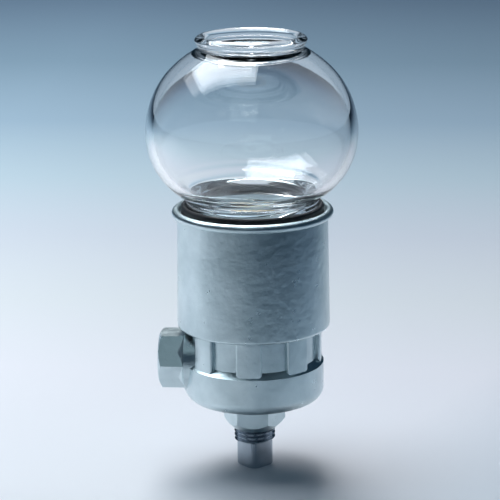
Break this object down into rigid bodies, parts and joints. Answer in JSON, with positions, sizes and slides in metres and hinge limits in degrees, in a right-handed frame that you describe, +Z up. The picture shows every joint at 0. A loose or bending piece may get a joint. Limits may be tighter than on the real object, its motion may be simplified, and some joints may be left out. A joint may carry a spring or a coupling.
{
  "type": "constant level oiler",
  "caption": "Constant level oiler: inverted clear glass reservoir in a hooded die-cast casting over a surge bowl with a side pipe port, set for oil level by a screwed crossarm.",
  "frame": {"origin": "on the vertical axis, at the underside of the drain plug", "axes": "+Z up along the oiler's axis, -X out of the side port, -Y towards the viewer of the picture"},
  "size_m": [0.0692, 0.0692, 0.1457],
  "materials": {
    "clear_glass": "clear blown glass",
    "black_rubber": "moulded rubber",
    "die_cast": "satin die cast",
    "brass": "turned",
    "steel": "turned",
    "plug_steel": "dark plated"
  },
  "bodies": {
    "base": {"lower_casting": "die_cast", "level_post": "steel", "drain_plug": "plug_steel"},
    "reservoir": {"reservoir_globe": "clear_glass", "rim_seal": "black_rubber", "mouth_seal": "black_rubber", "upper_casting": "die_cast", "feed_spout": "brass"},
    "crossarms": {"level_crossarm": "brass", "lock_crossarm": "brass"}
  },
  "joints": [
    {"name": "level_travel", "type": "slide", "parent": "base", "child": "reservoir", "axis": [0, 0, 1], "range_m": [-0.00127, 0.00889]},
    {"name": "crossarm_turn", "type": "hinge", "parent": "reservoir", "child": "crossarms", "pos_m": [0, 0, 0.038], "axis": [0, 0, 1], "range_deg": [-361, 2521]}
  ],
  "couplings": [
    {"joint": "crossarm_turn", "follows": "level_travel", "rad_per_m": 4947.4}
  ]
}
